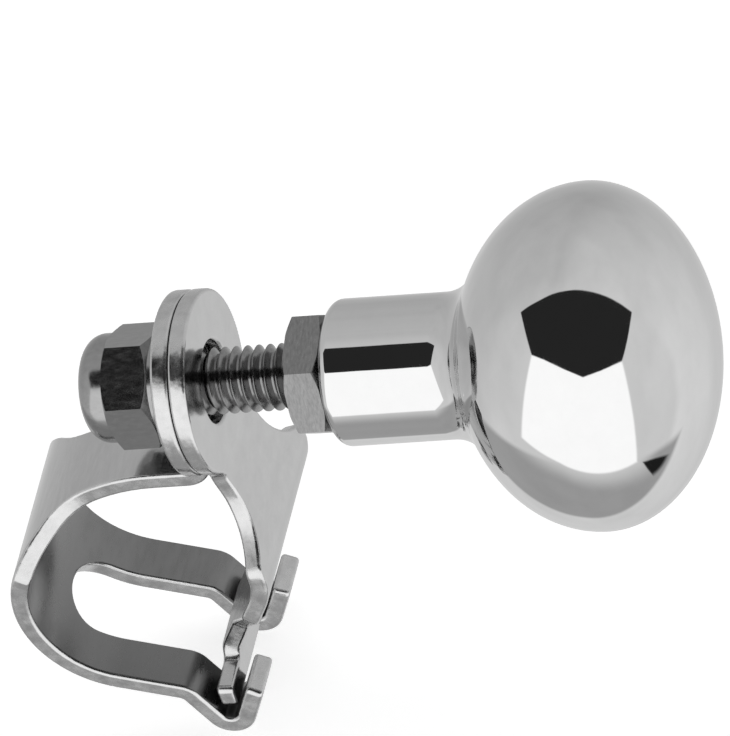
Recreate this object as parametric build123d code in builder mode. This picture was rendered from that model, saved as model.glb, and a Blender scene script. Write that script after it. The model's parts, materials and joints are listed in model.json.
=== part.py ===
from build123d import *
from math import asin, atan2, cos, degrees, hypot, radians, sin, sqrt, tan
import os

# Spinner knob for a ship's steering wheel, on a clamp with two bent jaws.
# The origin is the centre of the round rim tube that the clamp grips.
# +X runs along the stud to the knob, +Y along the rim, +Z from the rim up to the stud.

# Rim tube and the circle that the outer jaw wraps round it
rim_dia = 22.2
rim_play = 0.1
rim_leave_angle = 251.2

# Sheet that both jaws are bent from
sheet = 2.2
edge_round = 0.45

# Where the stud stands and where the two tabs meet
stud_height = 25.8
tab_face_x = 15.0
tab_radius = 11.0

# Outer jaw: neck, shoulders, slot and hook
outer_width = 23.0
neck_width = 10.8
neck_drop = 9.7
neck_end_x = 7.0
neck_bend = 1.5
shoulder_angle = 125.0
shoulder_slope = 37.0
shoulder_reach = 2.9
shoulder_corner = 1.8
shoulder_hollow = 10.0
slot_width = 10.2
slot_angle = 211.0
hook_slope = 62.0
hook_bend = 1.0
hook_lead_bend = 3.2
hook_tip_length = 6.8

# Inner jaw: tab, waist, belly and the T-shaped foot that seats in the hook
inner_width = 25.0
waist_width = 13.2
waist_drop = 11.8
tab_root = 2.0
flare_radius = 8.3
flare_corner = 1.8
cheek_z = -2.0
taper_angle = 46.0
tab_bend_drop = 9.6
tab_bend = 6.0
belly_x = 20.3
belly_z = 3.0
belly_bend = 8.5
heel_z = -14.1
heel_bend = 1.5
tongue_play = 0.2
tongue_corner = 1.2
foot_width = 21.0
foot_depth = 3.0
foot_corner = 0.8
foot_x = 8.3
foot_z = -17.9
foot_play = 0.1

# Stud: thread, hexagon collar, shoulder and bearing journal
thread_dia = 7.94
thread_lead_in = 0.8
thread_end = 11.5
thread_free = 13.0
outer_hole_play = 0.63
inner_hole_play = 0.95
collar_flats = 13.7
collar_length = 4.3
collar_chamfer = 0.9
collar_turn = 14.5
hex_chamfer_angle = 30.0
stud_shoulder_dia = 8.2
stud_shoulder_length = 1.1
journal_dia = 6.0

# Lock nut with a nylon ring in its dome
nut_flats = 13.0
nut_turn = 37.0
nut_play = 0.1
nut_washer_dia = 12.6
nut_washer_length = 1.9
nut_hex_length = 5.7
nut_dome_dia = 13.0
nut_dome_length = 3.5
nut_dome_round = 2.5
nut_mouth_dia = 9.8
thread_play = 0.05
insert_dia = 10.8
insert_length = 2.6
insert_play = 0.05

# Ball bearings on the journal
ring_bore_wall = 1.2
bearing_dia = 13.0
bearing_length = 5.0
bearing_spread = 4.0
ring_rim_wall = 1.15
ball_dia = 1.588
ball_count = 7
race_play = 0.036
cage_gap = 0.3
cage_length = 2.3
pocket_play = 0.08
shield_sheet = 0.25
shield_inset = 0.1
shield_seat = 0.35
shield_gap = 0.3

# Rings and washer that hold the bearings
washer_length = 1.1
washer_play = 0.02
washer_dia = 8.6
retaining_ring_sheet = 1.0
retaining_ring_groove = 0.4
retaining_ring_bore = 10.4
retaining_ring_gap = 4.0
circlip_sheet = 0.7
circlip_groove = 0.2
circlip_dia = 9.2
circlip_gap = 3.0
groove_play = 0.05
journal_end_length = 1.3

# Knob: neck and hollow flattened ball
knob_gap = 0.4
neck_dia = 17.4
neck_lip = 1.2
neck_flare = 5.0
ball_centre = 49.7
ball_radius = 20.6
ball_near_depth = 16.4
ball_far_depth = 13.9
knob_wall = 3.0
passage_dia = 11.2


def polar(radius, angle):
    """The point at a radius and an angle in degrees round the rim's centre."""
    return (radius * cos(radians(angle)), radius * sin(radians(angle)))


def crossing(point, angle, other, other_angle):
    """Where two lines cross, each given by a point on it and its angle in degrees."""
    dx = other[0] - point[0]
    dy = other[1] - point[1]
    turn = sin(radians(other_angle - angle))
    run = (dx * sin(radians(other_angle)) - dy * cos(radians(other_angle))) / turn
    return (point[0] + run * cos(radians(angle)), point[1] + run * sin(radians(angle)))


def finish(piece, name):
    """Label a finished piece and write it under its name."""
    piece.part.label = name
    export_step(piece.part, f"parts/{name}.step")


os.makedirs("parts", exist_ok=True)

stud_axis = Axis((0, 0, stud_height), (1, 0, 0))
# Profiles that turn about the stud are drawn here: local x from the tabs' contact plane, local y outward
turning_plane = Plane(origin=(tab_face_x, 0, stud_height), x_dir=(1, 0, 0), z_dir=(0, -1, 0))

# Outer jaw: one strip that runs down the tab, along the neck, round the rim and into the hook
rim_radius = rim_dia / 2 + rim_play
neck_under_z = stud_height - neck_drop - sheet
crown_radius = (neck_end_x**2 + neck_under_z**2 - rim_radius**2) / (2 * (neck_under_z - rim_radius))
crown_z = neck_under_z - crown_radius
crown_angle = degrees(atan2(-crown_z, -neck_end_x))
hook_wall = sheet / 2 + foot_play
hook_point = (foot_x, foot_z - hook_wall * tan(radians(hook_slope)))
leave_point = polar(rim_radius, rim_leave_angle)
hook_shoulder = crossing(leave_point, rim_leave_angle - 270, hook_point, -hook_slope)
hook_tip = (
    hook_point[0] + hook_tip_length * cos(radians(hook_slope)),
    hook_point[1] + hook_tip_length * sin(radians(hook_slope)),
)
neck_bend_outside = neck_bend + sheet
neck_half = neck_width / 2
outer_half = outer_width / 2
shoulder_plane = Plane(
    origin=(0, 0, 0),
    x_dir=(sin(radians(shoulder_angle)), 0, -cos(radians(shoulder_angle))),
    z_dir=(cos(radians(shoulder_angle)), 0, sin(radians(shoulder_angle))),
)
shoulder_rise = outer_half - neck_half
shoulder_start = shoulder_reach - shoulder_rise / tan(radians(shoulder_slope))
shoulder_end = shoulder_plane.to_local_coords(Vector(tab_face_x - neck_bend_outside, 0, neck_under_z)).X
slot_half = slot_width / 2
slot_centre_angle = slot_angle + degrees(asin(slot_half / (rim_radius + sheet)))
slot_plane = Plane(
    origin=(0, 0, 0),
    x_dir=(-sin(radians(slot_centre_angle)), 0, cos(radians(slot_centre_angle))),
    z_dir=(cos(radians(slot_centre_angle)), 0, sin(radians(slot_centre_angle))),
)
jaw_reach = hypot(hook_tip[0], hook_point[1]) + 2 * sheet

with BuildPart() as outer_jaw:
    with BuildSketch(Plane.XZ):
        with BuildLine():
            FilletPolyline(
                (tab_face_x, stud_height + tab_radius),
                (tab_face_x, neck_under_z),
                (neck_end_x, neck_under_z),
                radius=neck_bend_outside,
            )
            CenterArc((neck_end_x, crown_z), crown_radius, 90, crown_angle - 90)
            CenterArc((0, 0), rim_radius, crown_angle, rim_leave_angle - crown_angle)
            FilletPolyline(
                leave_point,
                hook_shoulder,
                hook_point,
                hook_tip,
                radius=(hook_lead_bend, hook_bend),
            )
            offset(amount=sheet, side=Side.RIGHT)
        make_face()
    extrude(amount=outer_half, both=True)
    # Tab and neck, seen along the stud: what lies outside them is cut away
    with BuildSketch(Plane.YZ.offset(neck_end_x)):
        with Locations((0, stud_height)):
            Rectangle(2 * outer_width, 2 * (stud_height - crown_z))
            Circle(tab_radius, mode=Mode.SUBTRACT)
            Rectangle(neck_width, 2 * stud_height, align=(Align.CENTER, Align.MAX), mode=Mode.SUBTRACT)
        with Locations((0, neck_under_z - sheet)):
            Rectangle(2 * outer_width, 4 * crown_radius, align=(Align.CENTER, Align.MAX), mode=Mode.SUBTRACT)
    extrude(amount=tab_face_x, mode=Mode.SUBTRACT)
    # Shoulders from the full width in to the neck, cut square to the sheet
    with BuildSketch(shoulder_plane):
        with BuildLine():
            slope = FilletPolyline(
                (shoulder_start - outer_half, outer_half),
                (shoulder_start, outer_half),
                (shoulder_reach, neck_half),
                (shoulder_end, neck_half),
                radius=(shoulder_corner, shoulder_hollow),
            )
            Polyline(
                slope @ 1,
                (shoulder_end, outer_width),
                (shoulder_start - outer_half, outer_width),
                slope @ 0,
            )
        make_face()
        mirror(about=Plane.XZ)
    extrude(amount=stud_height, mode=Mode.SUBTRACT)
    # Slot with a full-round end, open through the hook
    with BuildSketch(slot_plane):
        with Locations((jaw_reach, 0)):
            SlotCenterToCenter(2 * jaw_reach, slot_width)
    extrude(amount=jaw_reach, mode=Mode.SUBTRACT)
    with Locations(Plane(origin=(tab_face_x, 0, stud_height), z_dir=(1, 0, 0))):
        Hole(thread_dia / 2 + outer_hole_play, depth=sheet)
    fillet(outer_jaw.edges(), edge_round)
finish(outer_jaw, "outer_jaw")

# Inner jaw: its belly bows out past the rim and its foot stands in the hook's channel
tongue_half = slot_half - tongue_play
inner_half = inner_width / 2
waist_half = waist_width / 2
waist_z = stud_height - waist_drop
flare_drop = sqrt(flare_radius**2 - (flare_radius - inner_half + waist_half) ** 2)
tongue_z = cheek_z - (inner_half - tongue_half) * tan(radians(taper_angle))
foot_top_z = foot_z + foot_depth
tab_root_z = stud_height - sqrt(tab_radius**2 - waist_half**2)
inner_corners = (
    ((inner_half, waist_z - flare_drop), flare_corner),
    ((inner_half, cheek_z), flare_corner),
    ((tongue_half, tongue_z), tongue_corner),
    ((tongue_half, foot_top_z), tongue_corner),
    ((foot_width / 2, foot_top_z), foot_corner),
    ((foot_width / 2, foot_z), foot_corner),
)

with BuildPart() as inner_jaw:
    with BuildSketch(Plane.XZ):
        with BuildLine():
            FilletPolyline(
                (tab_face_x + sheet, stud_height + tab_radius),
                (tab_face_x + sheet, stud_height - tab_bend_drop),
                (belly_x, belly_z),
                (foot_x + sheet / 2, heel_z),
                (foot_x + sheet / 2, foot_z),
                radius=(tab_bend, belly_bend, heel_bend),
            )
            offset(amount=sheet, side=Side.RIGHT)
        make_face()
    extrude(amount=inner_half, both=True)
    with BuildSketch(Plane.YZ) as inner_outline:
        with BuildLine():
            flare = CenterArc(
                (waist_half + flare_radius, waist_z),
                flare_radius,
                180,
                degrees(asin(flare_drop / flare_radius)),
            )
            Polyline(
                flare @ 1,
                (inner_half, cheek_z),
                (tongue_half, tongue_z),
                (tongue_half, foot_top_z),
                (foot_width / 2, foot_top_z),
                (foot_width / 2, foot_z),
                (0, foot_z),
                (0, stud_height),
                (waist_half, stud_height),
                flare @ 0,
            )
        make_face()
        for corner, radius in inner_corners:
            fillet(inner_outline.vertices().sort_by_distance(corner)[0], radius)
        mirror(about=Plane.YZ)
        with Locations((0, stud_height)):
            Circle(tab_radius)
        for side in (-1, 1):
            fillet(inner_outline.vertices().sort_by_distance((side * waist_half, tab_root_z))[0], tab_root)
    extrude(amount=belly_x + belly_bend, mode=Mode.INTERSECT)
    with Locations(Plane(origin=(tab_face_x + sheet, 0, stud_height), z_dir=(1, 0, 0))):
        Hole(thread_dia / 2 + inner_hole_play, depth=sheet)
    fillet(inner_jaw.edges(), edge_round)
finish(inner_jaw, "inner_jaw")

# Stud: thread at nominal diameter, hexagon collar, shoulder and journal
thread_radius = thread_dia / 2
collar_x = thread_free
shoulder_x = collar_x + collar_length
bearings_x = shoulder_x + stud_shoulder_length + washer_length
journal_radius = journal_dia / 2
bearings_end_x = bearings_x + 2 * bearing_length + bearing_spread
journal_end_x = bearings_end_x + circlip_sheet + journal_end_length
circlip_groove_radius = journal_radius - circlip_groove
collar_corner = collar_flats / sqrt(3)
chamfer_depth = collar_chamfer * tan(radians(hex_chamfer_angle))

with BuildPart() as stud:
    with BuildSketch(Plane.YZ.offset(tab_face_x + collar_x)):
        with Locations((0, stud_height)):
            RegularPolygon(collar_flats / 2, 6, major_radius=False, rotation=collar_turn)
    extrude(amount=collar_length)
    # The collar's corners are turned off at both ends
    with BuildSketch(turning_plane):
        with BuildLine():
            Polyline(
                (collar_x, collar_corner - collar_chamfer),
                (collar_x, collar_corner),
                (collar_x + chamfer_depth, collar_corner),
                close=True,
            )
        make_face()
        mirror(about=Plane.YZ.offset(collar_x + collar_length / 2))
    revolve(axis=stud_axis, mode=Mode.SUBTRACT)
    with BuildSketch(turning_plane):
        with BuildLine():
            Polyline(
                (-thread_end, 0),
                (-thread_end, thread_radius - thread_lead_in),
                (thread_lead_in - thread_end, thread_radius),
                (shoulder_x, thread_radius),
                (shoulder_x, stud_shoulder_dia / 2),
                (shoulder_x + stud_shoulder_length, stud_shoulder_dia / 2),
                (shoulder_x + stud_shoulder_length, journal_radius),
                (bearings_end_x, journal_radius),
                (bearings_end_x, circlip_groove_radius),
                (bearings_end_x + circlip_sheet, circlip_groove_radius),
                (bearings_end_x + circlip_sheet, journal_radius),
                (journal_end_x, journal_radius),
                (journal_end_x, 0),
                close=True,
            )
        make_face()
    revolve(axis=stud_axis)
finish(stud, "stud")

# Lock nut: round washer face, hexagon, and a dome that holds the nylon ring
nut_face_x = -sheet - nut_play
nut_hex_x = nut_face_x - nut_washer_length
nut_dome_x = nut_hex_x - nut_hex_length
nut_end_x = nut_dome_x - nut_dome_length
nut_corner = nut_flats / sqrt(3)
nut_bore = thread_radius + thread_play
insert_radius = insert_dia / 2
insert_x = nut_dome_x
insert_end_x = insert_x - insert_length
nut_cone = (nut_corner - nut_washer_dia / 2) * tan(radians(hex_chamfer_angle))
seat_radius = insert_radius + insert_play

with BuildPart() as lock_nut:
    with BuildSketch(Plane.YZ.offset(tab_face_x + nut_dome_x)):
        with Locations((0, stud_height)):
            RegularPolygon(nut_flats / 2, 6, major_radius=False, rotation=nut_turn)
    extrude(amount=nut_hex_length)
    # The hexagon's corners are turned off at both ends
    with BuildSketch(turning_plane):
        with BuildLine():
            Polyline(
                (nut_dome_x, nut_washer_dia / 2),
                (nut_dome_x, nut_corner),
                (nut_dome_x + nut_cone, nut_corner),
                close=True,
            )
        make_face()
        mirror(about=Plane.YZ.offset(nut_dome_x + nut_hex_length / 2))
    revolve(axis=stud_axis, mode=Mode.SUBTRACT)
    with BuildSketch(turning_plane):
        with BuildLine():
            Line((nut_face_x, 0), (nut_face_x, nut_washer_dia / 2))
            Line((nut_face_x, nut_washer_dia / 2), (nut_hex_x, nut_washer_dia / 2))
            Line((nut_hex_x, nut_washer_dia / 2), (nut_dome_x, nut_dome_dia / 2))
            FilletPolyline(
                (nut_dome_x, nut_dome_dia / 2),
                (nut_end_x, nut_dome_dia / 2),
                (nut_end_x, 0),
                radius=nut_dome_round,
            )
            Line((nut_end_x, 0), (nut_face_x, 0))
        make_face()
    revolve(axis=stud_axis)
    with BuildSketch(turning_plane):
        with BuildLine():
            Polyline(
                (nut_face_x, 0),
                (nut_face_x, nut_bore),
                (insert_x, nut_bore),
                (insert_x, seat_radius),
                (insert_end_x, seat_radius),
                (insert_end_x, nut_mouth_dia / 2),
                (nut_end_x, nut_mouth_dia / 2),
                (nut_end_x, 0),
                close=True,
            )
        make_face()
    revolve(axis=stud_axis, mode=Mode.SUBTRACT)
finish(lock_nut, "lock_nut")

with BuildPart() as nylon_insert:
    with BuildSketch(Plane.YZ.offset(tab_face_x + insert_end_x)):
        with Locations((0, stud_height)):
            Circle(insert_radius)
            Circle(nut_bore, mode=Mode.SUBTRACT)
    extrude(amount=insert_length)
finish(nylon_insert, "nylon_insert")

# Bearings: two alike, each with two rings, balls, a cage and two shields
bearing_radius = bearing_dia / 2
inner_ring_radius = journal_radius + ring_bore_wall
outer_ring_bore = bearing_radius - ring_rim_wall
pitch_radius = (inner_ring_radius + outer_ring_bore) / 2
race_radius = ball_dia / 2 + race_play
shield_edge = outer_ring_bore + shield_seat
ball_spacing = 360 / ball_count

rear_start = bearings_x + bearing_length + bearing_spread

for place, start_x in (("front", bearings_x), ("rear", rear_start)):
    middle_x = start_x + bearing_length / 2
    middle_plane = Plane(origin=(tab_face_x + middle_x, 0, stud_height), x_dir=(0, 1, 0), z_dir=(1, 0, 0))

    with BuildPart() as inner_ring:
        with BuildSketch(turning_plane):
            with Locations((start_x, journal_radius)):
                Rectangle(bearing_length, ring_bore_wall, align=(Align.MIN, Align.MIN))
            with Locations((middle_x, pitch_radius)):
                Circle(race_radius, mode=Mode.SUBTRACT)
        revolve(axis=stud_axis)
    finish(inner_ring, f"{place}_inner_ring")

    with BuildPart() as outer_ring:
        with BuildSketch(turning_plane):
            with Locations((start_x, bearing_radius)):
                Rectangle(bearing_length, ring_rim_wall, align=(Align.MIN, Align.MAX))
            with Locations((middle_x, pitch_radius)):
                Circle(race_radius, mode=Mode.SUBTRACT)
            with Locations((middle_x, outer_ring_bore)):
                with GridLocations(bearing_length, 0, 2, 1):
                    Rectangle(2 * (shield_inset + shield_sheet), 2 * shield_seat, mode=Mode.SUBTRACT)
        revolve(axis=stud_axis)
    finish(outer_ring, f"{place}_outer_ring")

    with BuildPart() as cage:
        with BuildSketch(middle_plane):
            Circle(outer_ring_bore - cage_gap)
            Circle(inner_ring_radius + cage_gap, mode=Mode.SUBTRACT)
        extrude(amount=cage_length / 2, both=True)
        with Locations(middle_plane):
            with PolarLocations(pitch_radius, ball_count):
                Cylinder(ball_dia / 2 + pocket_play, ball_dia, rotation=(0, 90, 0), mode=Mode.SUBTRACT)
    finish(cage, f"{place}_cage")

    for number in range(ball_count):
        with BuildPart() as ball:
            with Locations(middle_plane):
                with PolarLocations(pitch_radius, 1, start_angle=number * ball_spacing):
                    Sphere(ball_dia / 2)
        finish(ball, f"{place}_ball_{number + 1}")

    shield_starts = (start_x + shield_inset, start_x + bearing_length - shield_inset - shield_sheet)
    for side, shield_x in zip(("near", "far"), shield_starts):
        with BuildPart() as shield:
            with BuildSketch(Plane.YZ.offset(tab_face_x + shield_x)):
                with Locations((0, stud_height)):
                    Circle(shield_edge)
                    Circle(inner_ring_radius + shield_gap, mode=Mode.SUBTRACT)
            extrude(amount=shield_sheet)
        finish(shield, f"{place}_{side}_shield")

# Spacers between the two bearings, one on the journal and one in the knob's bore
spacer_x = bearings_x + bearing_length

with BuildPart() as inner_spacer:
    with BuildSketch(Plane.YZ.offset(tab_face_x + spacer_x)):
        with Locations((0, stud_height)):
            Circle(inner_ring_radius)
            Circle(journal_radius + washer_play, mode=Mode.SUBTRACT)
    extrude(amount=bearing_spread)
finish(inner_spacer, "inner_spacer")

with BuildPart() as outer_spacer:
    with BuildSketch(Plane.YZ.offset(tab_face_x + spacer_x)):
        with Locations((0, stud_height)):
            Circle(bearing_radius - washer_play)
            Circle(outer_ring_bore, mode=Mode.SUBTRACT)
    extrude(amount=bearing_spread)
finish(outer_spacer, "outer_spacer")

# Washer between the stud's shoulder and the first inner ring
with BuildPart() as bearing_washer:
    with BuildSketch(Plane.YZ.offset(tab_face_x + bearings_x)):
        with Locations((0, stud_height)):
            Circle(washer_dia / 2)
            Circle(journal_radius + washer_play, mode=Mode.SUBTRACT)
    extrude(amount=-washer_length)
finish(bearing_washer, "bearing_washer")

# Split ring that keeps the outer rings in the knob, in a groove of the bore
ring_groove_radius = bearing_radius + retaining_ring_groove

with BuildPart() as retaining_ring:
    with BuildSketch(Plane.YZ.offset(tab_face_x + bearings_x)):
        with Locations((0, stud_height)):
            Circle(ring_groove_radius - groove_play)
            Circle(retaining_ring_bore / 2, mode=Mode.SUBTRACT)
            Rectangle(
                retaining_ring_gap,
                2 * bearing_dia,
                align=(Align.CENTER, Align.MIN),
                mode=Mode.SUBTRACT,
            )
    extrude(amount=-retaining_ring_sheet)
finish(retaining_ring, "retaining_ring")

# Split ring on the end of the journal
with BuildPart() as circlip:
    with BuildSketch(Plane.YZ.offset(tab_face_x + bearings_end_x)):
        with Locations((0, stud_height)):
            Circle(circlip_dia / 2)
            Circle(circlip_groove_radius + groove_play, mode=Mode.SUBTRACT)
            Rectangle(
                circlip_gap,
                circlip_dia,
                align=(Align.CENTER, Align.MIN),
                mode=Mode.SUBTRACT,
            )
    extrude(amount=circlip_sheet)
finish(circlip, "circlip")

# Knob: a necked, hollow, flattened ball in one piece, bored for the bearings; its neck side is the deeper
knob_x = shoulder_x + knob_gap
knob_neck_radius = neck_dia / 2
flare_depth = ball_near_depth * sqrt(1 - (knob_neck_radius / ball_radius) ** 2)
flare_corner_point = (ball_centre - flare_depth, knob_neck_radius)

with BuildPart() as knob:
    with BuildSketch(turning_plane) as knob_profile:
        with Locations((knob_x, 0)):
            Rectangle(ball_centre - knob_x, knob_neck_radius, align=(Align.MIN, Align.MIN))
        with Locations((ball_centre, 0)):
            Ellipse(ball_near_depth, ball_radius)
            Rectangle(
                ball_near_depth,
                2 * ball_radius,
                align=(Align.MIN, Align.CENTER),
                mode=Mode.SUBTRACT,
            )
            Ellipse(ball_far_depth, ball_radius)
            Rectangle(
                4 * ball_centre,
                2 * ball_radius,
                align=(Align.CENTER, Align.MAX),
                mode=Mode.SUBTRACT,
            )
        for corner, radius in (((knob_x, knob_neck_radius), neck_lip), (flare_corner_point, neck_flare)):
            fillet(knob_profile.vertices().sort_by_distance(corner)[0], radius)
    revolve(axis=stud_axis)
    # Bore, ring groove, passage and cavity
    with BuildSketch(turning_plane):
        with BuildLine():
            Polyline(
                (knob_x, 0),
                (knob_x, bearing_radius),
                (bearings_x - retaining_ring_sheet, bearing_radius),
                (bearings_x - retaining_ring_sheet, ring_groove_radius),
                (bearings_x, ring_groove_radius),
                (bearings_x, bearing_radius),
                (bearings_end_x, bearing_radius),
                (bearings_end_x, passage_dia / 2),
                (ball_centre, passage_dia / 2),
                (ball_centre, 0),
                close=True,
            )
        make_face()
        with Locations((ball_centre, 0)):
            Ellipse(ball_near_depth - knob_wall, ball_radius - knob_wall)
            Rectangle(
                ball_near_depth,
                2 * ball_radius,
                align=(Align.MIN, Align.CENTER),
                mode=Mode.SUBTRACT,
            )
            Ellipse(ball_far_depth - knob_wall, ball_radius - knob_wall)
            Rectangle(
                4 * ball_centre,
                2 * ball_radius,
                align=(Align.CENTER, Align.MAX),
                mode=Mode.SUBTRACT,
            )
    revolve(axis=stud_axis, mode=Mode.SUBTRACT)
finish(knob, "knob")
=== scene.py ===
import json
import logging
from dataclasses import dataclass
from enum import Enum
from math import acos, asin, atan2, ceil, cos, hypot, pi, radians, sin, sqrt, tan
from typing import Sequence

import bmesh
import bpy
from mathutils import Matrix, Vector


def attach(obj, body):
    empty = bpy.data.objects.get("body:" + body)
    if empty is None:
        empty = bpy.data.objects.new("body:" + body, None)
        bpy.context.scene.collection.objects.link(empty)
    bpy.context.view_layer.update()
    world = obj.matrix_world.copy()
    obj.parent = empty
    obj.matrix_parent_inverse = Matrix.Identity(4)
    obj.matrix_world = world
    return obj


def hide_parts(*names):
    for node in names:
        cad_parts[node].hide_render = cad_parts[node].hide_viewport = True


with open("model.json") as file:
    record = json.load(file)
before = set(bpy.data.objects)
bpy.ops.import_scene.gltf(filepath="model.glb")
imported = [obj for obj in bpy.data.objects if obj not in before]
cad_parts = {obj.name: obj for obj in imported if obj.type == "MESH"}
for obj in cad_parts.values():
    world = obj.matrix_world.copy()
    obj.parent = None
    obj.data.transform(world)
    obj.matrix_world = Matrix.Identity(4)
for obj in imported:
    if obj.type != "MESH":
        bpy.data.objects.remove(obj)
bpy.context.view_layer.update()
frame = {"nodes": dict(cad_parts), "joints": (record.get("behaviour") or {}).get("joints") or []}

log = logging.getLogger("spinner_knob")

MM = 0.001
JOINTS = {joint["name"]: joint for joint in frame["joints"]}
# The stud's axis crosses the plane where the two tabs meet at this point
CONTACT_POINT = Vector(JOINTS["knob_spin"]["pos_m"])
# Points of a mesh in millimetres that are nearer than this are one point
MERGE = 1e-4
# How many faces go round the turned parts of nut and stud
ROUND_STEPS = 144
# Nearly all of a noise's values are between these
NOISE_RANGE = (0.3, 0.7)
BMesh = bmesh.types.BMesh
Material = bpy.types.Material
Socket = bpy.types.NodeSocket
Tree = bpy.types.NodeTree
Point = tuple[float, float]
Direction = tuple[float, float, float]


class Turn(Enum):
    """Which way a sheet bends as it is followed down from its tab."""

    LEFT = 1
    RIGHT = -1


def linear(hex_colour: str) -> tuple[float, float, float, float]:
    """Turn an sRGB hex colour into the linear values that a shader takes.

    Args:
        hex_colour: six hex digits after a hash sign.

    Returns:
        Linear red, green and blue, and an alpha of one.
    """
    parts = [int(hex_colour[i : i + 2], 16) / 255 for i in (1, 3, 5)]
    red, green, blue = (c / 12.92 if c <= 0.04045 else ((c + 0.055) / 1.055) ** 2.4 for c in parts)
    return (red, green, blue, 1.0)


def add_node(
    tree: Tree,
    kind: str,
    inputs: dict[str | int, object] | None = None,
    **settings: object,
) -> bpy.types.Node:
    """Add a node, set it and join its inputs.

    Args:
        tree: the node tree that gets the node.
        kind: the node's type name.
        inputs: for an input's name or number, a constant or the output socket that feeds it.
        settings: the node's own properties.

    Returns:
        The new node.
    """
    node = tree.nodes.new(kind)
    for name, value in settings.items():
        setattr(node, name, value)
    for name, source in (inputs or {}).items():
        if isinstance(source, Socket):
            tree.links.new(source, node.inputs[name])
        else:
            node.inputs[name].default_value = source
    return node


def new_material(name: str) -> tuple[Material, Tree]:
    """Make a material whose node tree is empty.

    Args:
        name: the material's name.

    Returns:
        The material and its tree.
    """
    material = bpy.data.materials.new(name)
    material.use_nodes = True
    material.node_tree.nodes.clear()
    return material, material.node_tree


@dataclass(frozen=True)
class Corner:
    """A corner of an outline, rounded by an arc of a radius."""

    x: float
    y: float
    radius: float = 0.0


def rounded(corners: Sequence[Corner], step: float) -> list[Point]:
    """Follow an open outline and put an arc at each rounded corner.

    Args:
        corners: the outline's corners in order.
        step: the turn between two points of an arc, in radians.

    Returns:
        The points of the outline.
    """
    points: list[Point] = [(corners[0].x, corners[0].y)]
    for before, corner, after in zip(corners, corners[1:], corners[2:]):
        if corner.radius == 0.0:
            points.append((corner.x, corner.y))
            continue
        come = atan2(corner.y - before.y, corner.x - before.x)
        leave = atan2(after.y - corner.y, after.x - corner.x)
        turn = (leave - come + pi) % (2 * pi) - pi
        side = 1.0 if turn > 0 else -1.0
        back = corner.radius * tan(abs(turn) / 2)
        start = (corner.x - back * cos(come), corner.y - back * sin(come))
        centre = (start[0] - side * corner.radius * sin(come), start[1] + side * corner.radius * cos(come))
        points += arc(centre, corner.radius, come - side * pi / 2, turn, step)
    points.append((corners[-1].x, corners[-1].y))
    return points


def arc(centre: Point, radius: float, start: float, turn: float, step: float) -> list[Point]:
    """The points of an arc.

    Args:
        centre: the arc's centre.
        radius: its radius.
        start: the angle where it starts, in radians.
        turn: how far it turns, in radians, positive to the left.
        step: the most that two neighbouring points may be apart, in radians.

    Returns:
        The points with both ends.
    """
    count = max(2, ceil(abs(turn) / step))
    angles = [start + turn * i / count for i in range(count + 1)]
    return [(centre[0] + radius * cos(a), centre[1] + radius * sin(a)) for a in angles]


def chain(bm: BMesh, points: Sequence[Point], closed: bool) -> list[bmesh.types.BMEdge]:
    """Draw a line of edges in the XY plane.

    Args:
        bm: the mesh that gets them.
        points: the line's points.
        closed: whether the last point joins the first.

    Returns:
        The edges in order.
    """
    verts = [bm.verts.new((x, y, 0.0)) for x, y in points]
    pairs = list(zip(verts, verts[1:]))
    if closed:
        pairs.append((verts[-1], verts[0]))
    return [bm.edges.new(pair) for pair in pairs]


def make_piece(
    bm: BMesh,
    name: str,
    finishes: Sequence[Material],
    body: str,
    replaced: str,
    smooth_angle: float = 40.0,
    normals: Sequence[Vector] | None = None,
) -> None:
    """Turn a finished mesh into a piece of the object.

    Args:
        bm: the mesh, in metres and in the row's frame. It is freed.
        name: the piece's name.
        finishes: its materials, in the order of its faces' material indices.
        body: the moving body it rides on.
        replaced: the node that it stands for.
        smooth_angle: edges that turn by more degrees than this stay sharp.
        normals: the vertices' shading normals, where the maker has worked them out.
    """
    bmesh.ops.recalc_face_normals(bm, faces=bm.faces[:])
    for face in bm.faces:
        face.smooth = True
    mesh = bpy.data.meshes.new(name)
    bm.to_mesh(mesh)
    bm.free()
    for finish in finishes:
        mesh.materials.append(finish)
    piece = bpy.data.objects.new(name, mesh)
    bpy.context.scene.collection.objects.link(piece)
    if normals is None:
        mesh.set_sharp_from_angle(angle=radians(smooth_angle))
        weighted = piece.modifiers.new("even_shading", "WEIGHTED_NORMAL")
        weighted.keep_sharp = True
        weighted.weight = 100
    else:
        mesh.normals_split_custom_set_from_vertices(normals)
    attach(piece, body)
    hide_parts(replaced)
    log.info("%s: %d faces", name, len(mesh.polygons))


def everything(bm: BMesh) -> list[bmesh.types.BMVert | bmesh.types.BMEdge | bmesh.types.BMFace]:
    """All that a mesh holds, as an operator takes it."""
    return [*bm.verts, *bm.edges, *bm.faces]


def round_edges(
    bm: BMesh, edges: Sequence[bmesh.types.BMEdge], reach: float, segments: int, clamp: bool
) -> None:
    """Round some edges of a mesh.

    Args:
        bm: the mesh.
        edges: the edges.
        reach: how far the rounding goes from them.
        segments: how many faces go round.
        clamp: whether the rounding stops where it would run into other edges.
    """
    bmesh.ops.bevel(
        bm,
        geom=edges,
        offset=reach,
        offset_type="OFFSET",
        segments=segments,
        profile=0.5,
        affect="EDGES",
        material=-1,
        clamp_overlap=clamp,
    )


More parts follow.
